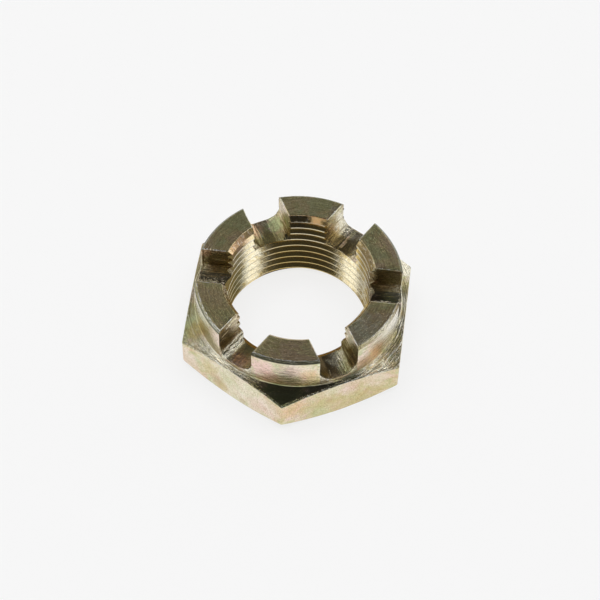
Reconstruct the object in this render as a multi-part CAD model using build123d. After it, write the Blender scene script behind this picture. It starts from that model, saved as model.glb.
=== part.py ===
# Castle nut, M24 x 1.5, 34 mm across flats: a hexagon with a round slotted crown above it.
# Origin at the centre of the bearing face, thread axis on +Z, one corner of the hexagon on -Y.
import os
from math import cos, radians, sqrt, tan

from build123d import *

os.makedirs("parts", exist_ok=True)

# thread
thread_diameter = 24.0
thread_pitch = 1.5
bore_radius = thread_diameter / 2 - 5 / 8 * sqrt(3) / 2 * thread_pitch  # crests of the inner thread
countersink_clearance = 0.05  # the crown's countersink opens this far past the thread roots
countersink_radius = thread_diameter / 2 + countersink_clearance
entry_depth = 0.46  # lighter countersink at the bearing face

# hexagon
across_flats = 34.0
flat_radius = across_flats / 2
corner_radius = flat_radius / cos(radians(30))
flat_height = 7.2  # top edge at the middle of a flat
shoulder_angle = 20.0  # fall of the turned shoulder towards the corners
underside_angle = 28.0  # rise of the cone that takes the lower corners off
underside_margin = 0.1  # the bearing face stops this far inside the flats

# crown
total_height = 13.8
crown_radius = 16.25
crown_chamfer = 0.45
neck_radius = 0.3  # fillet from the crown wall into the shoulder

# slots for the cotter pin
slot_count = 6
slot_width = 6.2
slot_depth = 5.5
slot_corner = 2.4


def nut_profile():
    """Half section of the turned blank, bored to the thread crests."""
    sink = countersink_radius - bore_radius  # both countersinks are at 45 degrees
    outside = corner_radius + 1  # past the corners, where the hexagon trims it
    bearing_radius = flat_radius - underside_margin
    underside = (outside - bearing_radius) * tan(radians(underside_angle))
    fall = tan(radians(shoulder_angle))
    shoulder = flat_height - (outside - flat_radius) * fall
    neck = (crown_radius, flat_height + (flat_radius - crown_radius) * fall)
    with BuildSketch(Plane.XZ) as section:
        with BuildLine():
            Polyline(
                (bore_radius, entry_depth),
                (bore_radius + entry_depth, 0),
                (bearing_radius, 0),
                (outside, underside),
                (outside, shoulder),
                neck,
                (crown_radius, total_height - crown_chamfer),
                (crown_radius - crown_chamfer, total_height),
                (countersink_radius, total_height),
                (bore_radius, total_height - sink),
                close=True,
            )
        make_face()
        fillet(section.vertices().sort_by_distance(neck)[0], neck_radius)
    return section.sketch


def slot_cutter():
    """Round-cornered trough running outwards from the axis along +X, open at the top."""
    with BuildSketch(Plane.YZ) as trough:
        with Locations((0, total_height - slot_depth)):
            Rectangle(slot_width, slot_depth + 1, align=(Align.CENTER, Align.MIN))
        fillet(trough.vertices().group_by(Axis.Y)[0], slot_corner)
    return extrude(trough.sketch, corner_radius)


def castle_nut():
    """Turned blank trimmed to the hexagon, then slotted through the crown."""
    blank = revolve(nut_profile(), Axis.Z)
    hexagon = RegularPolygon(flat_radius, 6, major_radius=False, rotation=30)
    slots = PolarLocations(0, slot_count) * slot_cutter()
    return (blank & extrude(hexagon, total_height)) - slots


nut = castle_nut()
nut.label = "castle_nut"
export_step(nut, "parts/castle_nut.step")
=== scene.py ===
from math import atan, cos, degrees, hypot, pi, radians, sin, sqrt, tan
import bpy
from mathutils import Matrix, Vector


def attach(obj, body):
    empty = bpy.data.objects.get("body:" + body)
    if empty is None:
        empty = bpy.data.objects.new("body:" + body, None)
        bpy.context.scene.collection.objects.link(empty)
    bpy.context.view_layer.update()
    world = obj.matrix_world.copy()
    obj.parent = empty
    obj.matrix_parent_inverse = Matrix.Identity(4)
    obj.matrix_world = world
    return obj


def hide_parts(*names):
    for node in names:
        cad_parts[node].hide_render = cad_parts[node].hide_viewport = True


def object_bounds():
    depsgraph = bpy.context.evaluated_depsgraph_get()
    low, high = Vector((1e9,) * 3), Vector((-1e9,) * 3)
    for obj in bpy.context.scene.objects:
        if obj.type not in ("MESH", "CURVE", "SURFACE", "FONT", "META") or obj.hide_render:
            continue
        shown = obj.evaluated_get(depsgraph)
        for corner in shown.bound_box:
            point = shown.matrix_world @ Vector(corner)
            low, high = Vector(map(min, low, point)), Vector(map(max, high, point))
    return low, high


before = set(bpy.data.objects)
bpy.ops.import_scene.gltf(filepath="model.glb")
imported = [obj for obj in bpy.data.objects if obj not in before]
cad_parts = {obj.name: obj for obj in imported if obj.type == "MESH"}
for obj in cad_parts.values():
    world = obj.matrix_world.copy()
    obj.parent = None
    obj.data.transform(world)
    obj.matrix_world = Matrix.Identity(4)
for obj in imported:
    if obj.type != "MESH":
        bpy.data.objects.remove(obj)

from types import SimpleNamespace

import bmesh
import bpy
from mathutils import Matrix, Vector, noise

cadLow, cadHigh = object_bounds()  # the CAD part's box, before anything is dressed
mm = 0.001  # shapes are worked out in millimetres

# the nut's own sizes: the first two come from the frame, angles are in degrees
nut = dict(
    acrossFlats=(cadHigh.x - cadLow.x) / mm,
    height=(cadHigh.z - cadLow.z) / mm,
    threadDiameter=24.0,
    pitch=1.5,
    blankBore=10.4,  # radius of the blank's hole, which the thread cutter opens
    sinkClearance=0.05,  # the crown's countersink opens this far past the thread's roots
    entryDepth=0.46,  # countersink at the bearing face
    flatHeight=7.2,  # top edge at the middle of a flat
    shoulderFall=20.0,  # slope of the turned shoulder
    undersideRise=28.0,  # slope of the cone under the corners
    undersideMargin=0.1,
    crownRadius=16.25,
    crownChamfer=0.45,
    neckRadius=0.3,
    slotCount=6,
    slotWidth=6.2,
    slotDepth=5.5,
    slotCorner=2.4,
)


def boreRadius():  # to the crests of the thread
    return nut["threadDiameter"] / 2 - 5 / 8 * sqrt(3) / 2 * nut["pitch"]


# the blank's edges: how far the tools and the barrel rounded them, and how uneven they left them
edges = dict(
    hexCorner=0.4,
    hexEdge=0.14,
    rim=0.08,
    bearing=0.2,
    change=0.45,  # share by which a rounding grows and shrinks round the nut
    firm=0.25,  # a rounding above this keeps its size on a narrow face
    room=0.85,  # share of a narrow face that roundings may take up
    support=0.05,  # from a rounding to the row of vertices that keeps the face beside it flat
    arcSteps=4,
    neckSteps=8,
    sharpFrom=32.0,  # degrees between two faces that shade as a crease
)


def arcPoint(corner, back, on, reach, share):  # a point of the arc that rounds a corner
    turn = pi - back.angle(on)
    radius = reach / tan(turn / 2)
    middle = (back + on).normalized()
    centre = corner + middle * (radius / cos(turn / 2))
    swing = (share - 0.5) * turn
    across = (on - back).normalized()
    return centre - middle * radius * cos(swing) + across * radius * sin(swing)


def arcReaches(corners, spans, firm):  # how far each arc runs along the lines beside it
    reach = [0.0] * len(corners)
    for i in range(1, len(corners) - 1):
        into = Vector(corners[i][:2]) - Vector(corners[i - 1][:2])
        away = Vector(corners[i + 1][:2]) - Vector(corners[i][:2])
        reach[i] = corners[i][2] * tan(into.angle(away) / 2)
    for i, span in enumerate(spans):  # soft corners give way where a span is short
        ends = [k for k in (i, i + 1) if reach[k]]
        total = sum(reach[k] for k in ends)
        room = edges["room"] * span
        if total > room:
            kept = sum(reach[k] for k in ends if firm[k])
            for k in ends:
                if not firm[k]:
                    reach[k] *= max(0.05, (room - kept) / (total - kept))
    return reach


def rounded(corners):  # the line of a section whose corners are (radius, height, rounding)
    firm = [c[2] > edges["firm"] for c in corners]
    spans = [hypot(b[0] - a[0], b[1] - a[1]) for a, b in zip(corners, corners[1:])]
    reach = arcReaches(corners, spans, firm)
    line = [Vector(corners[0][:2])]
    for i in range(1, len(corners) - 1):
        here = Vector(corners[i][:2])
        back = (Vector(corners[i - 1][:2]) - here).normalized()
        on = (Vector(corners[i + 1][:2]) - here).normalized()
        freeBack = spans[i - 1] - reach[i - 1] - reach[i]
        freeOn = spans[i] - reach[i] - reach[i + 1]
        steps = edges["neckSteps"] if firm[i] else edges["arcSteps"]
        line.append(here + back * (reach[i] + min(edges["support"], freeBack / 3)))
        line += [arcPoint(here, back, on, reach[i], s / steps) for s in range(steps + 1)]
        line.append(here + on * (reach[i] + min(edges["support"], freeOn / 3)))
    line.append(Vector(corners[-1][:2]))
    return line


def hexReach(angle):  # from the axis to the side of the hexagon, with its corners rounded
    flat, corner = nut["acrossFlats"] / 2, edges["hexCorner"]
    local = abs((degrees(angle) + 30) % 60 - 30)
    centre = (flat - corner) / cos(radians(30))
    if local < degrees(atan(centre * sin(radians(30)) / flat)):
        return flat / cos(radians(local))
    off = radians(30 - local)
    return centre * cos(off) + sqrt(corner**2 - (centre * sin(off)) ** 2)


def hexAngles():  # a degree apart, and closer round the corners
    corner = [-0.75, -0.6, -0.4, -0.2, 0.0, 0.2, 0.4, 0.6, 0.75]
    sector = [float(a) for a in range(-29, 30)] + [30 + c for c in corner]
    return sorted(radians(60 * k + a) for k in range(6) for a in sector)


def uneven(name, angle, row):  # an edge rounding that changes round the nut, in broad and in short waves
    spot = Vector((6 * cos(angle), 6 * sin(angle), 10 * row))
    return edges[name] * (1 + edges["change"] * noise.noise(spot) + edges["change"] * noise.noise(spot * 4))


def blankSection(angle):  # half section of the blank at this angle
    n = nut
    side = hexReach(angle)
    flat = n["acrossFlats"] / 2
    bearing = flat - n["undersideMargin"]
    mouth = n["threadDiameter"] / 2 + n["sinkClearance"]
    entry = boreRadius() + n["entryDepth"]
    inner = n["blankBore"]
    fall = tan(radians(n["shoulderFall"]))
    rise = tan(radians(n["undersideRise"]))
    crown, top, chamfer = n["crownRadius"], n["height"], n["crownChamfer"]
    return rounded(
        [
            (inner, entry - inner, 0),
            (entry, 0, uneven("rim", angle, 0)),
            (bearing, 0, edges["bearing"]),
            (side, (side - bearing) * rise, uneven("hexEdge", angle, 1)),
            (side, n["flatHeight"] - (side - flat) * fall, uneven("hexEdge", angle, 2)),
            (crown, n["flatHeight"] + (flat - crown) * fall, n["neckRadius"]),
            (crown, top - chamfer, uneven("rim", angle, 3)),
            (crown - chamfer, top, uneven("rim", angle, 4)),
            (mouth, top, uneven("rim", angle, 5)),
            (inner, top - mouth + inner, 0),
        ]
    )


def skin(mesh, rows):  # quads between each row of vertices and the next
    for here, there in zip(rows, rows[1:]):
        for a in range(len(here) - 1):
            mesh.faces.new((here[a], there[a], there[a + 1], here[a + 1]))


def solidFrom(name, mesh):
    bmesh.ops.recalc_face_normals(mesh, faces=mesh.faces)
    data = bpy.data.meshes.new(name)
    mesh.to_mesh(data)
    mesh.free()
    made = bpy.data.objects.new(name, data)
    bpy.context.scene.collection.objects.link(made)
    return made


def makeBlank():  # the turned hexagon, before the slots and the thread are cut
    mesh = bmesh.new()
    rows = []
    for angle in hexAngles():
        spoke = Vector((cos(angle), sin(angle), 0))
        rows.append([mesh.verts.new(spoke * p.x + Vector((0, 0, p.y))) for p in blankSection(angle)])
    skin(mesh, rows + rows[:1])
    mesh.faces.new([r[0] for r in rows])
    mesh.faces.new([r[-1] for r in reversed(rows)])
    return solidFrom("blank", mesh)


# the slotting cutter: the lips it leaves, and how far it strays
slotting = dict(
    topLip=0.15,  # roundings along the crown's top, on its wall and in the bore
    wallLip=0.13,
    boreLip=0.1,
    lipTurn=80.0,  # degrees that a lip turns through
    ridge=0.03,  # height of the ridges that run along a slot
    cornerRidge=0.07,  # and in its round corners
    ridgeSize=0.42,
    lipWander=0.03,  # how far a lip strays, and how much further where a burr is left
    burr=0.5,
    floorHalf=0.35,  # from the slot's middle line to its first row of vertices
    cornerSteps=36,
    wallSteps=11,
    lipSteps=4,
    lengthSteps=9,
    margin=0.05,  # from a lip to the first row of vertices along the slot
    flare=0.15,  # how far the cutter widens past a lip, and over what length
    flareRun=0.06,
    topClear=0.2,  # how far it stays off the lips above the crown
    innerEnd=8.0,  # radius where the cutter starts, inside the bore
    outerRun=3.0,  # how far it goes on past the crown
)


def slotOutline():  # across the slot, down one wall and up the other, as (point, outward normal)
    c = slotting
    half, top = nut["slotWidth"] / 2, nut["height"]
    floor, corner, lip = top - nut["slotDepth"], nut["slotCorner"], c["topLip"]
    right = [(Vector((c["floorHalf"], floor)), Vector((0, -1)))]
    for s in range(c["cornerSteps"] + 1):
        a = radians(90 * s / c["cornerSteps"])
        out = Vector((sin(a), -cos(a)))
        right.append((Vector((half - corner, floor + corner)) + out * corner, out))
    wall = top - lip - floor - corner
    for s in range(1, c["wallSteps"]):
        right.append((Vector((half, floor + corner + wall * s / c["wallSteps"])), Vector((1, 0))))
    for s in range(c["lipSteps"] + 1):
        a = radians(c["lipTurn"] * s / c["lipSteps"])
        point = Vector((half + lip, top - lip)) + Vector((-cos(a), sin(a))) * lip
        right.append((point, Vector((cos(a), -sin(a)))))
    for above in (0.05, 1):  # then straight up, clear of the crown
        right.append((Vector((half + lip + c["topClear"], top + above)), Vector((1, 0))))
    left = [(Vector((-p.x, p.y)), Vector((-n.x, n.y))) for p, n in reversed(right)]
    return left + right


def slotStations():  # along the slot as (radius, how far the lip has opened)
    c = slotting
    wall, bore = nut["crownRadius"], boreRadius()
    lip, inner = c["wallLip"], c["boreLip"]
    arc = [radians(c["lipTurn"] * s / c["lipSteps"]) for s in range(c["lipSteps"] + 1)]
    inside = [(bore + inner * (1 - sin(a)), inner * (1 - cos(a))) for a in reversed(arc)]
    outside = [(wall - lip * (1 - sin(a)), lip * (1 - cos(a))) for a in arc]
    start, run = bore + inner + c["margin"], wall - bore - lip - inner - 2 * c["margin"]
    between = [(start + run * s / c["lengthSteps"], 0) for s in range(c["lengthSteps"] + 1)]
    first, flared = inside[0][0], inside[0][1] + c["flare"]
    before = [(c["innerEnd"], flared), (first - c["flareRun"], flared)]
    last, flared = outside[-1][0], outside[-1][1] + c["flare"]
    after = [(last + c["flareRun"], flared), (wall + c["outerRun"], flared)]
    return before + inside + between + outside + after


def cutterMark(slot, radius, point):  # ridges that run along the slot, in two sizes
    x, y = point / slotting["ridgeSize"]
    ridge = noise.noise(Vector((x, y, 7 * slot + radius * 0.1)))
    ridge += 0.7 * noise.noise(Vector((x * 2.3, y * 2.3, 7 * slot + radius * 0.9)))
    floor = nut["height"] - nut["slotDepth"]
    corner = hypot(abs(point.x) - nut["slotWidth"] / 2, point.y - floor) < nut["slotCorner"]
    return slotting["cornerRidge" if corner else "ridge"] * ridge


def slotRing(slot, radius, opened):  # the cutter's outline where it meets this radius
    ring = []
    for point, normal in slotOutline():
        stray = cutterMark(slot, radius, point)
        if opened:
            lip = noise.noise(Vector((point.x * 2, point.y * 2, 9 * slot + radius)))
            stray += slotting["lipWander"] * lip - slotting["burr"] * max(0, lip - 0.3)
        y, z = point + normal * (opened + stray)
        ring.append(Vector((sqrt(radius**2 - y**2), y, z)))
    return ring


def makeSlotCutters():
    mesh = bmesh.new()
    for k in range(nut["slotCount"]):
        turn = Matrix.Rotation(2 * pi * k / nut["slotCount"], 3, "Z")
        rings = [[mesh.verts.new(turn @ p) for p in slotRing(k, *station)] for station in slotStations()]
        skin(mesh, [ring + ring[:1] for ring in rings])
        mesh.faces.new(rings[0])
        mesh.faces.new(list(reversed(rings[-1])))
    return solidFrom("slotCutters", mesh)


# the screw that cuts the thread
screw = dict(
    start=0.88,  # share of a turn by which it is screwed in further
    columns=180,  # steps in one turn
    crestHalf=0.1,  # half the width of a crest's flat
    crest=0.05,  # roundings of the crests and the roots
    root=0.08,
    support=0.02,  # from a rounding to the row of vertices beside it
)


def threadCorners():  # one pitch as (height, radius, rounding), from the middle of a groove up
    pitch, outer, inner = nut["pitch"], nut["threadDiameter"] / 2, boreRadius()
    groove, crest = pitch / 16, pitch / 2 - screw["crestHalf"]
    roots = [(groove, outer, screw["root"]), (pitch - groove, outer, screw["root"])]
    crests = [(crest, inner, screw["crest"]), (pitch - crest, inner, screw["crest"])]
    return roots[:1] + crests + roots[1:]


def threadRows():
    corners = threadCorners()
    below = [(z - nut["pitch"], r, e) for z, r, e in corners[-1:]]
    above = [(z + nut["pitch"], r, e) for z, r, e in corners[:1]]
    line = below + corners + above
    rows = []
    for before, corner, after in zip(line, line[1:], line[2:]):
        here = Vector(corner[:2])
        back = (Vector(before[:2]) - here).normalized()
        on = (Vector(after[:2]) - here).normalized()
        reach = corner[2] * tan((pi - back.angle(on)) / 2)
        rows.append(here + back * (reach + screw["support"]))
        rows += [arcPoint(here, back, on, reach, s / 2) for s in range(3)]
        rows.append(here + on * (reach + screw["support"]))
    return rows


def makeThreadCutter():  # a right-hand screw that leaves the thread behind it
    pitch, height, columns = nut["pitch"], nut["height"], screw["columns"]
    turns = int(height / pitch) + 4  # enough to start below the nut and end above it
    section = threadRows()
    mesh = bmesh.new()
    rows = []
    for c in range(columns + 1):
        angle = 2 * pi * c / columns
        lift = (c / columns - 2 + screw["start"]) * pitch
        spoke = Vector((cos(angle), sin(angle), 0))
        line = [spoke * p.y + Vector((0, 0, p.x + lift + t * pitch)) for t in range(turns) for p in section]
        rows.append([mesh.verts.new(p) for p in line])
    skin(mesh, rows)
    bmesh.ops.remove_doubles(mesh, verts=mesh.verts, dist=1e-5)
    loose = [e for e in mesh.edges if e.is_boundary]
    for below in (True, False):  # a fan closes each end
        rim = [e for e in loose if (e.verts[0].co.z < height / 2) == below]
        middle = mesh.verts.new((0, 0, sum(e.verts[0].co.z for e in rim) / len(rim)))
        for e in rim:
            mesh.faces.new((e.verts[0], e.verts[1], middle))
    return solidFrom("threadCutter", mesh)


def cut(body, cutter):
    step = body.modifiers.new(cutter.name, "BOOLEAN")
    step.operation = "DIFFERENCE"
    step.solver = "MANIFOLD"
    step.object = cutter
    bpy.context.view_layer.objects.active = body
    bpy.ops.object.modifier_apply(modifier=step.name)
    bpy.data.objects.remove(cutter)


def weld(body):  # join corners that the cuts left almost on top of each other
    mesh = bmesh.new()
    mesh.from_mesh(body.data)
    bmesh.ops.remove_doubles(mesh, verts=mesh.verts, dist=2e-4)
    mesh.to_mesh(body.data)
    mesh.free()


def makeNut():
    body = makeBlank()
    print("blank:", len(body.data.polygons), "faces")
    cut(body, makeSlotCutters())
    print("slots:", len(body.data.polygons), "faces")
    cut(body, makeThreadCutter())
    weld(body)
    print("thread:", len(body.data.polygons), "faces")
    body.name = "nut_body"
    body.data.transform(Matrix.Scale(mm, 4))
    body.data.materials.clear()
    for face in body.data.polygons:
        face.use_smooth = True
    body.data.set_sharp_from_angle(angle=radians(edges["sharpFrom"]))
    return body


def markCuts(body):  # which tool made each face: slot, thread or the bar's own flat
    cutBy = body.data.attributes.new("cutBy", "FLOAT_VECTOR", "FACE")
    root = nut["threadDiameter"] / 2
    slotFloor = nut["height"] - nut["slotDepth"]
    for face in body.data.polygons:
        x, y, z = face.center / mm
        far = hypot(x, y)
        side = min(abs(x * sin(radians(a)) - y * cos(radians(a))) for a in (0, 60, 120))
        thread = far < root - 0.02 and face.normal.dot(Vector((x, y, 0)).normalized()) < 0.05
        inSlot = side < nut["slotWidth"] / 2 + 0.01 and z > slotFloor - 0.01
        boreEdge = far < root + 0.1 and z < slotFloor + 0.01 and abs(face.normal.z) < 0.5
        slot = inSlot and not boreEdge
        flat = abs(face.normal.z) < 0.1 and far > nut["crownRadius"] + 0.3
        cutBy.data[face.index].vector = (slot, thread and not slot, flat)


class Signal:  # a shader socket that can be written in expressions
    def __init__(self, tree, socket=None):
        self.tree, self.socket = tree, socket

    def node(self, kind, settings=None, sockets=None, out=0):  # settings first, then values or links
        made = self.tree.nodes.new("ShaderNode" + kind)
        for name, value in (settings or {}).items():
            if name == "stops":
                fillRamp(made.color_ramp, value)
            else:
                setattr(made, name, value)
        for name, value in (sockets or {}).items():
            if isinstance(value, Signal):
                self.tree.links.new(value.socket, made.inputs[name])
            else:
                made.inputs[name].default_value = value
        return Signal(self.tree, made.outputs[out] if made.outputs else None)

    def maths(self, operation, *others):
        return self.node("Math", {"operation": operation}, dict(enumerate((self, *others))))

    def __add__(self, other):
        return self.maths("ADD", other)

    def __sub__(self, other):
        return self.maths("SUBTRACT", other)

    def __rsub__(self, other):
        return self.node("Math", {"operation": "SUBTRACT"}, {0: other, 1: self})

    def __mul__(self, other):
        return self.maths("MULTIPLY", other)

    def __truediv__(self, other):
        return self.maths("DIVIDE", other)

    def __pow__(self, other):
        return self.maths("POWER", other)

    def __abs__(self):
        return self.maths("ABSOLUTE")

    __radd__ = __add__
    __rmul__ = __mul__

    def step(self, low, high):  # 0 below low, 1 above high, soft between
        return self.node(
            "MapRange",
            {"interpolation_type": "SMOOTHSTEP"},
            {"Value": self, "From Min": low, "From Max": high},
        )

    def near(self, middle, inner, outer):  # 1 within inner of the middle, 0 beyond outer
        return 1 - abs(self - middle).step(inner, outer)

    def vector(self, operation, *others, out=0):
        return self.node("VectorMath", {"operation": operation}, dict(enumerate((self, *others))), out)

    def parts(self):  # a vector's x, y and z
        return [self.node("SeparateXYZ", sockets={0: self}, out=k) for k in range(3)]

    def noise(self, scale, detail, rough, warp=0.0, shift=None):
        at = self.vector("ADD", shift) if shift else self
        sockets = {"Vector": at, "Scale": scale, "Detail": detail, "Roughness": rough, "Distortion": warp}
        return self.node("TexNoise", {"noise_dimensions": "3D"}, sockets)

    def ramp(self, *stops):
        return self.node("ValToRGB", {"stops": stops}, {0: self})

    def blend(self, under, over, how="MIX"):  # two colours, mixed by this value
        return self.node("Mix", {"data_type": "RGBA", "blend_type": how}, {0: self, 6: under, 7: over}, 2)


def fillRamp(ramp, stops):
    while len(ramp.elements) < len(stops):
        ramp.elements.new(0.5)
    for element, (place, colour) in zip(ramp.elements, stops):
        element.position = place
        element.color = (*colour, 1)


def emptyTree(owner):  # a material's or a world's nodes, cleared, ready to be written in
    owner.use_nodes = True
    owner.node_tree.nodes.clear()
    return Signal(owner.node_tree)


# plating: colours are what a white surface shows in it, sizes are in millimetres
plating = dict(
    straw=(0.86, 0.76, 0.52),
    cream=(0.97, 0.94, 0.78),
    khaki=(0.74, 0.64, 0.33),
    gold=(0.62, 0.47, 0.17),
    green=(0.60, 0.68, 0.36),
    blush=(0.97, 0.82, 0.72),
    pink=(0.95, 0.70, 0.64),
    peach=(0.95, 0.63, 0.40),
    rust=(0.62, 0.38, 0.26),
    brown=(0.30, 0.22, 0.12),
    umber=(0.13, 0.10, 0.05),
    olive=(0.42, 0.38, 0.17),
    grey=(0.60, 0.62, 0.56),
    shade=(0.16, 0.17, 0.11),
    steel=(0.97, 0.97, 0.92),  # bare metal on a worn edge, and painted glints on the edges and the shoulder's scores
    topGreen=(0.82, 0.84, 0.46),  # the crown's top, turned last
    topStraw=(1.0, 0.88, 0.5),
    topPink=(1.0, 0.80, 0.54),
    tarnish=(0.6, 0.48, 0.25),  # this one and the next darken what they lie on
    speckle=(0.58, 0.5, 0.35),
    clean=(1.0, 0.93, 0.8),
    crust=(0.84, 0.52, 0.24),
    roughness=dict(turned=0.12, flat=0.26, slot=0.15, thread=0.17, cone=0.06),
    patchSize=3.2,  # of the drifts between the film's colours
    feed=0.36,  # the lathe's feed on the shoulder
    markDepth=0.06,  # the tools' marks
    grainDepth=0.02,  # the film's own grain
)
# where one kind of surface gives way to the next, as (none, full)
borders = dict(
    wallFoot=(7.6, 7.7),  # heights
    chamferFoot=(13.3, 13.36),
    top=(nut["height"] - 0.05, nut["height"] - 0.01),
    shoulder=(16.0, 16.3),  # radii
    chamferRing=(15.6, 15.7),
)
# painted shade and painted reflections round the crown's chamfer, grey at the left front, dark at the front
# and behind, cream at the right front, as shares of a turn from the left by way of the front
chamferPaintedLight = (
    (0.0, "brown"),
    (0.05, "olive"),
    (0.12, "grey"),
    (0.2, "shade"),
    (0.3, "shade"),
    (0.37, "khaki"),
    (0.42, "cream"),
    (0.47, "brown"),
    (0.53, "shade"),
    (0.95, "shade"),
)
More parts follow.
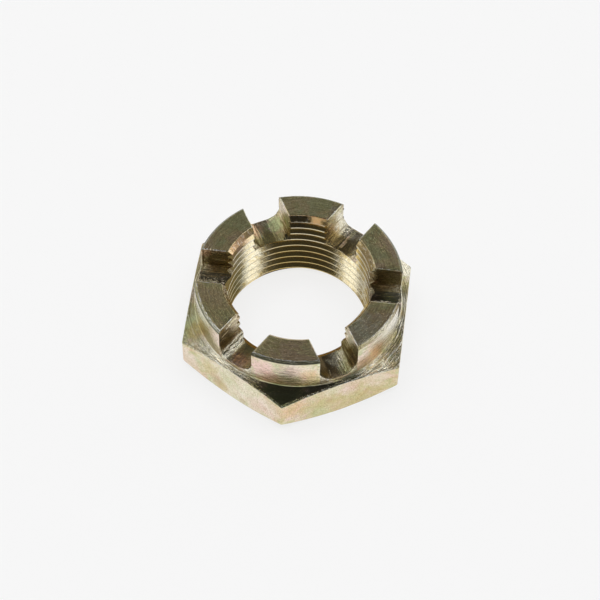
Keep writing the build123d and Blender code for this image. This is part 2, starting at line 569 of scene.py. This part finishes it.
# stains in the film, with spots of painted highlight and painted shade among them: where, colour, angle
# round the axis, radius, height, size and strength
stainsAndPaintedLight = (
    ("wall", "cream", -90, 16.3, 12.6, 6.0, 0.5),
    ("wall", "pink", -103, 16.3, 11.0, 3.0, 0.9),
    ("wall", "pink", -87, 16.3, 11.2, 2.2, 0.6),
    ("wall", "peach", -77, 16.3, 10.2, 2.2, 0.5),
    ("wall", "cream", -65, 16.3, 11.5, 2.6, 0.8),
    ("wall", "rust", -97, 16.3, 8.6, 2.6, 0.7),
    ("wall", "brown", -86, 16.3, 8.3, 2.4, 0.6),
    ("wall", "khaki", -74, 16.3, 8.4, 2.6, 0.6),
    ("wall", "brown", -57, 16.3, 8.0, 3.0, 0.7),
    ("wall", "rust", -45, 16.3, 8.6, 2.4, 0.7),
    ("wall", "blush", -37, 16.3, 11.8, 3.0, 0.9),
    ("wall", "cream", -17, 16.3, 11.0, 7.5, 1.0),
    ("wall", "peach", -35, 16.3, 9.4, 2.8, 0.9),
    ("wall", "straw", -24, 16.3, 8.6, 2.6, 0.7),
    ("wall", "cream", -145, 16.3, 12.2, 6.0, 1.0),
    ("wall", "blush", -133, 16.3, 11.6, 2.8, 0.9),
    ("wall", "peach", -150, 16.3, 9.6, 2.0, 0.6),
    ("wall", "olive", -143, 16.3, 8.6, 3.4, 0.9),
    ("wall", "brown", -131, 16.3, 8.2, 2.4, 0.6),
    ("wall", "brown", -121, 16.3, 8.0, 3.0, 0.6),
    ("flat", "cream", -116, 17.2, 4.8, 9.5, 0.9),
    ("flat", "khaki", -60, 17.2, 3.0, 10.5, 0.8),
    ("flat", "khaki", -133, 18.0, 3.8, 2.6, 0.9),
    ("flat", "gold", -127, 17.5, 1.6, 2.0, 0.7),
    ("flat", "blush", -148, 19.0, 3.0, 3.4, 1.0),
    ("flat", "green", -121, 17.1, 5.4, 2.6, 0.35),
    ("flat", "pink", -104, 18.2, 2.6, 2.8, 0.6),
    ("flat", "blush", -97, 19.0, 4.4, 2.8, 0.8),
    ("flat", "peach", -85, 19.0, 5.0, 2.8, 0.8),
    ("flat", "gold", -78, 18.2, 3.6, 2.0, 0.5),
    ("flat", "green", -72, 17.9, 1.6, 2.8, 0.5),
    ("flat", "cream", -62, 17.2, 6.4, 2.8, 0.6),
    ("flat", "pink", -54, 17.2, 5.8, 2.6, 0.7),
    ("flat", "gold", -44, 17.9, 1.4, 3.0, 0.6),
    ("flat", "rust", -130, 17.6, 2.6, 1.7, 0.5),
    ("flat", "rust", -113, 17.1, 0.9, 1.0, 0.4),
    ("flat", "rust", -99, 18.4, 3.0, 0.7, 0.5),
    ("flat", "rust", -66, 17.2, 4.0, 0.8, 0.4),
    ("flat", "rust", -37, 18.9, 4.4, 0.9, 0.5),
    ("flat", "blush", -40, 18.4, 5.8, 2.8, 0.7),
    # on the shoulder the cream rows are painted highlights, and the shade rows and the brown row are
    # painted shade, dark reflections; the green, olive and gold rows are the film's own colour
    ("cone", "green", -158, 17.8, 6.8, 4.0, 0.8),
    ("cone", "olive", -167, 17.4, 7.0, 2.2, 0.8),
    ("cone", "gold", -152, 16.8, 7.1, 2.4, 0.7),
    ("cone", "cream", -130, 17.4, 7.0, 6.0, 1.0),
    ("cone", "green", -90, 18.2, 6.6, 4.6, 0.8),
    ("cone", "shade", -90, 17.0, 7.0, 3.6, 0.5),
    ("cone", "cream", -116, 17.4, 7.0, 2.0, 1.0),
    ("cone", "cream", -8, 16.5, 7.3, 2.0, 1.0),
    ("cone", "cream", 9, 16.5, 7.3, 2.0, 1.0),
    ("cone", "shade", -70, 16.8, 7.1, 3.4, 0.7),
    ("cone", "shade", -54, 17.3, 7.1, 3.8, 0.9),
    ("cone", "shade", -25, 18.2, 6.6, 2.6, 0.45),
    ("cone", "cream", -38, 18.2, 6.6, 2.2, 1.0),
    ("cone", "cream", -45, 17.4, 6.9, 1.6, 0.9),
    ("cone", "brown", -11, 17.5, 6.9, 1.6, 0.9),
    ("cone", "olive", 14, 17.2, 7.0, 1.6, 0.7),
    ("cone", "cream", 31, 18.6, 6.6, 3.8, 1.0),
    ("slot", "brown", -132, 15.0, 10.8, 3.0, 0.7),
    ("slot", "olive", -119, 12.4, 8.3, 2.6, 0.9),
    ("slot", "rust", -119, 15.0, 8.3, 2.0, 0.8),
    ("slot", "pink", -116, 15.4, 8.3, 1.3, 0.7),
    ("slot", "cream", -110, 15.6, 9.0, 1.8, 0.8),
    ("slot", "straw", -130, 12.2, 8.9, 1.8, 0.8),
    # painted shade in the slot's outer corner
    ("slot", "shade", -126, 15.8, 8.5, 1.0, 0.8),
    ("slot", "brown", -66, 14.2, 8.4, 3.6, 1.0),
    ("slot", "umber", -63, 13.2, 8.3, 3.0, 0.85),
    ("slot", "cream", -71, 16.0, 10.2, 2.0, 0.9),
    # a painted highlight along the slot's floor
    ("slot", "cream", -54, 13.6, 8.6, 2.2, 1.0),
    ("slot", "green", -53, 15.2, 8.6, 1.8, 0.7),
    ("slot", "olive", -46, 14.4, 10.8, 4.4, 0.95),
    ("slot", "brown", -48, 15.4, 9.8, 1.8, 0.8),
    ("slot", "olive", 8, 12.8, 11.4, 3.2, 0.8),
    ("slot", "straw", 10, 15.4, 10.6, 2.6, 0.8),
    # a painted highlight in the slot's corner
    ("slot", "cream", 7, 15.4, 8.9, 2.6, 1.0),
    ("slot", "green", 5, 14.2, 8.5, 1.8, 0.8),
    ("slot", "umber", 9, 12.2, 8.8, 2.2, 0.7),
    # a painted glint at the slot's outer corner
    ("slot", "cream", -8, 15.8, 8.5, 2.4, 1.0),
    ("slot", "olive", 172, 12.8, 11.0, 3.6, 0.8),
    ("slot", "straw", 176, 14.2, 8.4, 2.6, 1.0),
    ("slot", "brown", 169, 13.8, 10.2, 1.8, 0.7),
    ("slot", "peach", 168, 15.6, 13.0, 1.4, 0.8),
    ("slot", "olive", 60, 12.4, 8.3, 2.4, 0.9),
    ("slot", "cream", 70, 15.2, 9.8, 3.8, 1.0),
    ("slot", "peach", 70, 12.8, 9.8, 2.0, 0.6),
    ("slot", "gold", 68, 12.6, 8.8, 2.4, 0.9),
    ("slot", "umber", 62, 12.2, 8.3, 2.4, 0.8),
    ("slot", "brown", 54, 13.8, 8.8, 2.0, 0.7),
    ("slot", "cream", 48, 12.8, 9.6, 2.0, 0.8),
    ("slot", "olive", 110, 12.4, 10.2, 3.2, 0.7),
    ("slot", "olive", 120, 12.4, 8.3, 3.2, 1.0),
    ("slot", "green", 113, 14.8, 8.7, 2.2, 0.9),
    ("slot", "peach", 127, 15.0, 8.5, 2.2, 0.8),
    ("thread", "cream", -150, 11.7, 13.4, 4.5, 0.9),
    ("thread", "cream", -40, 11.7, 12.6, 5.0, 0.7),
    # painted shade on the thread
    ("thread", "brown", 12, 11.7, 9.5, 5.5, 0.9),
    # the cream rows at 139, 46 and 138 degrees pale the film where the highlights fall, a painted highlight
    ("thread", "cream", 139, 11.6, 9.0, 5.0, 0.6),
    ("thread", "cream", 46, 11.6, 4.0, 6.0, 0.6),
    ("thread", "olive", 154, 11.6, 4.0, 3.8, 0.7),
    ("thread", "cream", 138, 11.6, 3.5, 4.6, 0.6),
    # the top rows darken the left of the crown's top and lighten the right, painted light
    ("top", "khaki", -150, 14.0, 13.8, 6.0, 0.5),
    ("top", "cream", -42, 14.2, 13.8, 5.0, 0.7),
    ("top", "cream", 71, 14.0, 13.8, 1.6, 0.7),
    ("thread", "brown", 100, 12.0, 13.4, 3.6, 0.9),
    ("thread", "rust", 152, 12.0, 13.5, 3.6, 0.7),
    ("thread", "brown", 32, 12.0, 13.5, 3.6, 0.7),
)
# where the wear and the painted light are, as (none, full) or (middle, full within, none beyond): angles
# are in radians
wearAndLight = dict(
    wallStreaks=(8.0, 10.0),  # heights below which the wall is streaked
    wallScores=(8.0, 9.6),
    cleanWall=(-0.22, 0.2, 0.35),  # angles
    smoothShoulder=(-1.48, 0.2, 0.5),
    shoulderScores=(-2.5, -2.25),
    shoulderFades=(0.0, 0.2),
    shoulderEdge=(16.6, 16.75),  # distance from the axis towards the flat
    shoulderEdgeEnds=(0.15, 0.3),
    mouth=(12.95, 13.05),  # height of the thread's mouth
    slotEnd=(15.7, 16.0),  # radii
    crease=(16.08, 16.16),  # under the chamfer: a painted shade line
    creaseEnds=(-1.2, -1.0),
    # angles where the chamfer's bright chips, partly painted glints, fade out
    glintRimFade=(-0.5, -0.2),
    rim=(15.85, 0.05, 0.16),  # bare metal along the rim, kept to the front, where it is also a painted highlight
    rimHeight=(13.7, 13.75),
    rimEnds=(-0.3, -0.1),
    lip=(3.2, 0.04, 0.14),  # and along the slots' lips
    lipHeight=(13.6, 13.7),
    crest=(boreRadius() + 0.03, boreRadius() + 0.1),
    crestHeight=(5, 9),
    tornGlintSlot=(radians(-120), 0.22, 0.26),  # a strip along one slot's corner that the cutter tore, with painted highlight and painted shade streaks
    tornGlintSide=(-2.0, 0.375, 0.75),
    tornGlintTop=(9.8, 10.4),
    crust=(82.5, 12.0, 13.4, 1.75),  # a thick dull spot of film: degrees, radius, height, size
)


def findPlace(s):  # where a point lies, in millimetres from the axis and the bearing face
    point = s.node("TexCoord", out="Object").vector("MULTIPLY", (1 / mm,) * 3)
    x, y, height = point.parts()
    across = point.vector("MULTIPLY", (1, 1, 0))
    radius = across.vector("LENGTH", out="Value")
    angle = y.maths("ARCTAN2", x)
    folded = angle.maths("WRAP", radians(30), radians(-30))  # from the middle of the nearest slot
    return SimpleNamespace(
        point=point,
        height=height,
        radius=radius,
        spoke=across.vector("NORMALIZE"),
        angle=angle,
        along=radius * folded.maths("COSINE"),
        side=radius * folded.maths("SINE"),
        slot=(angle - folded).maths("WRAP", 2 * pi - 0.5, -0.5),
    )


def findZones(s, at):  # 1 on one kind of surface, 0 on the others
    slot, thread, flat = s.node("Attribute", {"attribute_name": "cutBy"}, out="Vector").parts()
    lathed = 1 - slot - flat - thread
    aboveFoot = at.height.step(*borders["wallFoot"])
    top = lathed * at.height.step(*borders["top"])
    cone = lathed * (1 - aboveFoot) * at.radius.step(*borders["shoulder"])
    chamfer = lathed * at.height.step(*borders["chamferFoot"]) * (1 - top)
    chamfer = chamfer * at.radius.step(*borders["chamferRing"])
    wall = lathed * aboveFoot * (1 - top) * (1 - chamfer)
    return SimpleNamespace(
        lathed=lathed, top=top, cone=cone, chamfer=chamfer, wall=wall, slot=slot, thread=thread, flat=flat
    )


def findMarks(s, at):  # the lathe's marks run round the axis, the slotting cutter's along each slot
    def roundNoise(often, fine, detail, rough):
        deep = s.node("CombineXYZ", sockets={2: (at.radius * 1.4 - at.height) * fine})
        return at.spoke.vector("MULTIPLY", (often, often, 0)).vector("ADD", deep).noise(1.0, detail, rough)

    slotPlace = {0: at.along * 0.45 + at.slot * 7, 1: at.side * 2.4, 2: at.height * 2.4}
    return SimpleNamespace(
        lathe=roundNoise(9, 2.6, 4, 0.7),
        arcs=roundNoise(5, 4.5, 3, 0.6),
        chips=roundNoise(26, 4.0, 3, 0.75),
        shoulder=roundNoise(3.5, 2.0, 3, 0.7),
        slot=s.node("CombineXYZ", sockets=slotPlace).noise(1.0, 4, 0.7),
        grain=at.point.noise(3.4, 3, 0.7),
        specks=at.point.noise(5.5, 2, 0.7, shift=(7, 3, 29)),
        mottle=at.point.noise(1.1, 3, 0.6, shift=(3, 41, 7)),
    )


def spot(at, mark, degree, radius, height, size):  # 1 in a ragged round spot, 0 outside it
    centre = Vector((radius * cos(radians(degree)), radius * sin(radians(degree)), height))
    away = at.point.vector("SUBTRACT", centre).vector("LENGTH", out="Value") / size
    return 1 - (away + (mark.mottle - 0.5) * 1.4).step(0.3, 1.05)


def coat(colour, name, amount, how="MIX"):  # lay one of the plating's colours over what is there, film colour and painted light alike
    return amount.blend(colour, (*plating[name], 1), how)


def makeFilm(at, zone, mark, slotDarkening):  # a drift from pale to gold and from green to pink, then stains and spots of painted light, and the chamfer's painted shade and reflections
    p, size = plating, plating["patchSize"]
    pale = at.point.noise(1 / size, 3, 0.6, 0.8)
    tint = at.point.noise(1.3 / size, 3, 0.55, 0.9, shift=(31, 17, 5))
    film = pale.ramp((0.36, p["gold"]), (0.5, p["straw"]), (0.64, p["cream"]))
    hue = tint.ramp((0.38, p["green"]), (0.5, p["straw"]), (0.62, p["pink"]))
    colour = (mark.mottle.step(0.3, 0.7) * 0.3 + 0.35).blend(film, hue)
    colour = coat(colour, "olive", zone.cone * 0.25)
    colour = coat(colour, "gold", zone.thread * 0.95)
    drift = at.point.noise(0.8 / size, 4, 0.6, 0.4, shift=(5, 23, 11))
    onTop = drift.ramp((0.4, p["topGreen"]), (0.5, p["topStraw"]), (0.6, p["topPink"]))
    colour = (zone.top * 0.85).blend(colour, onTop)
    colour = coat(colour, "brown", zone.slot * slotDarkening * 0.65)
    plain = colour
    for where, name, *place, strength in stainsAndPaintedLight:
        colour = coat(colour, name, spot(at, mark, *place) * getattr(zone, where) * strength)
    colour = (zone.flat * 0.3).blend(colour, plain)
    # the chamfer takes painted shade and painted reflections by its angle round the crown
    rim = (at.angle / (2 * pi) + 0.5).ramp(*[(share, p[name]) for share, name in chamferPaintedLight])
    return (zone.chamfer * 0.9).blend(colour, rim)


def findWearAndLight(at, zone, mark):  # how far each kind of wear and of painted light has gone
    w = wearAndLight
    # scores on the shoulder, whose bright and dark lines are partly painted highlights and painted shade
    scoresAndGlints = zone.cone * (1 - 0.8 * at.angle.near(*w["smoothShoulder"]))
    scoresAndGlints = scoresAndGlints * (1 - 0.7 * at.angle.step(*w["shoulderFades"]))
    scoresAndGlints = scoresAndGlints * (0.4 + 0.6 * at.angle.step(*w["shoulderScores"]))
    # a burred strip on the shoulder's edge whose dashes are partly painted glints and painted shade
    burredAndGlint = zone.cone * at.along.step(*w["shoulderEdge"]) * (1 - at.angle.step(*w["shoulderEdgeEnds"]))
    mouth = zone.thread * at.height.step(*w["mouth"]) * 0.45
    slotEnd = zone.slot * at.radius.step(*w["slotEnd"]) * 0.6
    edge = (zone.chamfer + burredAndGlint + mouth + slotEnd).maths("MINIMUM", 1.0)
    # bright chips on the edges, partly bare metal and partly painted glints
    chipsAndGlints = edge - zone.chamfer * (0.5 + at.angle.step(*w["glintRimFade"]) * 0.5)
    rim = at.radius.near(*w["rim"]) * at.height.step(*w["rimHeight"]) * (1 - at.angle.step(*w["rimEnds"]))
    lip = abs(at.side).near(*w["lip"]) * at.height.step(*w["lipHeight"])
    crest = zone.thread * (1 - at.radius.step(*w["crest"]))
    crest = crest * (0.05 + at.height.step(*w["crestHeight"]) * 0.45)
    # a torn strip whose streaks are painted highlight and painted shade
    tornGlint = at.angle.near(*w["tornGlintSlot"]) * at.side.near(*w["tornGlintSide"])
    lowDown = 1 - at.height.step(*w["wallStreaks"])
    return SimpleNamespace(
        scoresAndGlints=scoresAndGlints,
        edge=edge,
        chipsAndGlints=chipsAndGlints * mark.chips.step(0.54, 0.6),
        streaks=mark.lathe.step(0.5, 0.62) * zone.wall * (0.12 + lowDown * 0.5),
        clean=zone.wall * at.angle.near(*w["cleanWall"]),
        crease=zone.chamfer * at.radius.step(*w["crease"]) * (1 - at.angle.step(*w["creaseEnds"])),
        bareAndGlint=rim.maths("MAXIMUM", lip) * mark.mottle.step(0.4, 0.6),
        crest=crest,
        tornGlint=tornGlint * zone.slot * (1 - at.height.step(*w["tornGlintTop"])),
        crust=spot(at, mark, *w["crust"]) * zone.thread,
    )


def wearAndLightOnFilm(colour, zone, mark, wornAndLit, slotDarkening):
    # brown arcs and pale gaps on top, dull spots, a darker brown coat in the slots, brown rings on the wall
    # that are stronger towards the bottom
    colour = coat(colour, "brown", zone.top * mark.arcs.step(0.52, 0.66) * 0.3)
    colour = coat(colour, "cream", zone.top * (1 - mark.arcs.step(0.28, 0.38)) * 0.7)
    dull = (mark.grain * 0.6 + mark.mottle * 0.4).step(0.42, 0.6)
    colour = coat(colour, "tarnish", dull * (0.15 + zone.top * 0.15), "MULTIPLY")
    colour = coat(colour, "brown", zone.slot * slotDarkening * 0.25)
    colour = coat(colour, "brown", wornAndLit.streaks)
    # dark and bright scores on the shoulder, then chips along the edges; the bright lines and chips are
    # partly painted highlights and glints, and the dark ones partly painted shade
    colour = coat(colour, "shade", wornAndLit.scoresAndGlints * (1 - mark.shoulder.step(0.38, 0.5)) * 0.6)
    colour = coat(colour, "steel", wornAndLit.scoresAndGlints * mark.shoulder.step(0.54, 0.62) * 0.6)
    colour = coat(colour, "shade", wornAndLit.edge * (1 - mark.chips.step(0.4, 0.48)) * 0.7)
    colour = coat(colour, "steel", wornAndLit.chipsAndGlints * 0.8)
    colour = coat(colour, "straw", zone.slot * mark.specks.step(0.58, 0.66) * 0.3)
    # a painted shade line under the chamfer
    colour = coat(colour, "shade", wornAndLit.crease * 0.8)
    # specks all over, fewer on the wall and in the thread
    speckled = 0.4 + zone.flat * 0.1 - zone.wall * 0.15 - zone.thread * 0.2
    colour = coat(colour, "speckle", mark.specks.step(0.38, 0.62) * speckled, "MULTIPLY")
    colour = coat(colour, "brown", mark.specks.step(0.62, 0.68) * 0.6)
    # a clean place on the wall, bare metal on the rim and the slots' lips that is also a painted highlight,
    # pale thread crests, then painted highlight and painted shade streaks on the torn strip
    colour = coat(colour, "clean", wornAndLit.clean * 0.75)
    colour = coat(colour, "steel", wornAndLit.bareAndGlint * 0.8)
    colour = coat(colour, "cream", wornAndLit.crest)
    colour = coat(colour, "cream", wornAndLit.tornGlint * mark.slot.step(0.46, 0.5))
    colour = coat(colour, "shade", wornAndLit.tornGlint * (1 - mark.slot.step(0.4, 0.46)) * 0.9)
    return coat(colour, "crust", wornAndLit.crust * (0.6 + mark.grain.step(0.4, 0.6) * 0.4))


def filmRoughness(zone, mark):
    each = plating["roughness"]
    rough = each["turned"]
    for where in ("flat", "slot", "thread", "cone"):
        rough = rough + getattr(zone, where) * (each[where] - each["turned"])
    return rough + (mark.grain - 0.5) * 0.12


def makeRelief(s, at, zone, mark, wornAndLit):  # the tools' marks, then the film's grain
    deeper = 1 + (1 - at.height.step(*wearAndLight["wallScores"])) * 0.8
    grooves = (at.radius * (2 * pi / plating["feed"])).maths("SINE") * mark.arcs * 0.4 + mark.shoulder * 3.6
    marks = zone.lathed * (1 - zone.cone) * mark.lathe * deeper + (wornAndLit.scoresAndGlints + zone.cone * 0.05) * grooves
    marks = marks + zone.slot * mark.slot * (1.3 + wornAndLit.tornGlint * 2) + wornAndLit.edge * mark.chips * 1.5
    depth = plating["markDepth"] * mm
    bump = s.node("Bump", sockets={"Height": marks, "Distance": depth, "Strength": 1.0})
    grain = mark.grain * (1 - zone.thread * 0.25)
    return s.node("Bump", sockets={"Height": grain, "Distance": plating["grainDepth"] * mm, "Normal": bump})


def platedSteel():
    material = bpy.data.materials.new("platedSteel")
    s = emptyTree(material)
    at = findPlace(s)
    zone = findZones(s, at)
    mark = findMarks(s, at)
    wornAndLit = findWearAndLight(at, zone, mark)
    # a pattern by which the slots are coated darker brown
    slotDarkening = (mark.slot * 0.45 + mark.grain * 0.55).step(0.42, 0.56)
    sockets = {
        "Base Color": wearAndLightOnFilm(makeFilm(at, zone, mark, slotDarkening), zone, mark, wornAndLit, slotDarkening),
        "Metallic": 1 - wornAndLit.crust * 0.8,
        "Roughness": filmRoughness(zone, mark),
        "Normal": makeRelief(s, at, zone, mark, wornAndLit),
    }
    shader = s.node("BsdfPrincipled", sockets=sockets)
    s.node("OutputMaterial", sockets={"Surface": shader})
    return material


nutBody = makeNut()
markCuts(nutBody)
nutBody.data.materials.append(platedSteel())
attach(nutBody, "root")
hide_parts("castle_nut")
print("plating done")

# lengths of the set are in metres
studio = dict(
    floorRadius=0.9,
    sweepRadius=0.35,
    sweepHeight=0.35,
    floorSteps=6,
    sweepSteps=8,
    segments=64,
    floorColour=(0.85, 0.85, 0.85),
    whiteShare=0.8,  # how far the set shows plain white to the camera and in the metal
    white=0.96,
    overhead=0.03,
    horizon=0.42,
    sides=0.3,  # more light from the left and the right
    front=0.25,  # how much of the horizon's light is left on the camera's side
    fill=0.6,  # soft light from above that the metal doesn't mirror
    fillRadius=0.6,
    fillHeight=1.0,
    fillShare=0.26,  # of the fill's power, what reaches the nut
    boxes=(
        dict(name="softboxLeft", azimuth=197, elevation=47, distance=0.6, size=(0.2, 0.22), radiance=1.3),
        dict(name="softboxRight", azimuth=-6, elevation=47, distance=0.6, size=(0.17, 0.22), radiance=1.3),
        dict(name="softboxHigh", azimuth=22, elevation=60, distance=0.6, size=(0.14, 0.06), radiance=4.0),
        dict(name="cardRight", azimuth=66, elevation=23, distance=0.6, size=(0.2, 0.17), radiance=1.1),
        dict(name="cardLow", azimuth=20, elevation=12, distance=0.6, size=(0.26, 0.16), radiance=1.0),
        dict(name="cardLeft", azimuth=155, elevation=47, distance=0.62, size=(0.4, 0.36), radiance=0.4),
        dict(name="cardHigh", azimuth=170, elevation=64, distance=0.6, size=(0.16, 0.08), radiance=3.2),
    ),
)


def makeSet():  # a pale floor that sweeps up all round
    c = studio
    profile = [(r * c["floorRadius"] / c["floorSteps"], 0.0) for r in range(1, c["floorSteps"] + 1)]
    for s in range(1, c["sweepSteps"] + 1):
        a = radians(90 * s / c["sweepSteps"])
        profile.append((c["floorRadius"] + c["sweepRadius"] * sin(a), c["sweepHeight"] * (1 - cos(a))))
    mesh = bmesh.new()
    centre = mesh.verts.new((0, 0, 0))
    rows = []
    for k in range(c["segments"]):
        a = 2 * pi * k / c["segments"]
        rows.append([mesh.verts.new((r * cos(a), r * sin(a), z)) for r, z in profile])
    for here, there in zip(rows, rows[1:] + rows[:1]):
        mesh.faces.new((centre, here[0], there[0]))
        for a in range(len(here) - 1):
            mesh.faces.new((here[a], here[a + 1], there[a + 1], there[a]))
    for face in mesh.faces:
        face.smooth = True
    sweep = solidFrom("studioFloor", mesh)
    sweep.data.materials.append(setPaint())


def setPaint():  # matt, but nearly white to the camera and in the metal
    c = studio
    paint = bpy.data.materials.new("studioPaint")
    s = emptyTree(paint)
    camera, glossy, clear = [
        s.node("LightPath", out=name) for name in ("Is Camera Ray", "Is Glossy Ray", "Is Transmission Ray")
    ]
    seen = (camera + glossy + clear).maths("MINIMUM", 1.0)
    matt = s.node("BsdfDiffuse", sockets={"Color": (*c["floorColour"], 1)})
    glow = s.node("Emission", sockets={"Color": (1, 1, 1, 1), "Strength": c["white"]})
    mixed = s.node("MixShader", sockets={0: seen * c["whiteShare"], 1: matt, 2: glow})
    s.node("OutputMaterial", sockets={"Surface": mixed})
    return paint


def makeFill():  # a wide disc straight above
    c = studio
    lamp = bpy.data.lights.new("fill", "AREA")
    lamp.shape = "DISK"
    lamp.size = c["fillRadius"] * 2
    lamp.energy = c["fill"] * pi * pi * c["fillRadius"] ** 2 / c["fillShare"]
    made = bpy.data.objects.new("fill", lamp)
    bpy.context.scene.collection.objects.link(made)
    made.location = (0, 0, c["fillHeight"])
    made.visible_glossy = False


def makeBox(box):  # a softbox or a card that faces the nut
    lamp = bpy.data.lights.new(box["name"], "AREA")
    lamp.shape = "RECTANGLE"
    lamp.size, lamp.size_y = box["size"]
    lamp.energy = box["radiance"] * pi * lamp.size * lamp.size_y
    made = bpy.data.objects.new(box["name"], lamp)
    bpy.context.scene.collection.objects.link(made)
    az, el = radians(box["azimuth"]), radians(box["elevation"])
    out = Vector((cos(az) * cos(el), sin(az) * cos(el), sin(el)))
    made.location = out * box["distance"]
    made.rotation_euler = (-out).to_track_quat("-Z", "Y").to_euler()


def makeWorld():  # dark overhead and on the camera's side, paler toward the horizon and the two sides
    c = studio
    world = bpy.data.worlds.new("studioWorld")
    bpy.context.scene.world = world
    s = emptyTree(world)
    across, back, up = s.node("TexCoord", out="Generated").parts()
    low = (1 - up).maths("MAXIMUM", 0.0) ** 0.8
    behind = c["front"] + back.step(-0.6, 0.2) * (1 - c["front"])
    sides = abs(across).step(0.8, 0.97)
    level = c["overhead"] + low * behind * c["horizon"] + sides * c["sides"]
    light = s.node("Background", sockets={"Color": (1, 1, 1, 1), "Strength": level})
    s.node("OutputWorld", sockets={"Surface": light})


# the camera: angles in degrees, aim and distance in millimetres
view = dict(
    aim=(0.25, 0.03, 7.39),
    azimuth=6.34,
    elevation=54.4,
    roll=1.33,
    distance=283.9,
    lens=108.04,
    sensor=36,
    nearest=0.01,  # metres
)


def makeCamera():
    v = view
    camera = bpy.data.objects.new("camera", bpy.data.cameras.new("camera"))
    bpy.context.scene.collection.objects.link(camera)
    camera.data.lens = v["lens"]
    camera.data.sensor_width = v["sensor"]
    camera.data.clip_start = v["nearest"]
    camera.matrix_world = (
        Matrix.Translation(Vector(v["aim"]) * mm)
        @ Matrix.Rotation(radians(v["azimuth"]), 4, "Z")
        @ Matrix.Rotation(radians(90 - v["elevation"]), 4, "X")
        @ Matrix.Translation((0, 0, v["distance"] * mm))
        @ Matrix.Rotation(radians(v["roll"]), 4, "Z")
    )
    bpy.context.scene.camera = camera


makeSet()
makeFill()
for box in studio["boxes"]:
    makeBox(box)
makeWorld()
makeCamera()
bpy.context.scene.view_settings.view_transform = "Standard"
print("studio done")
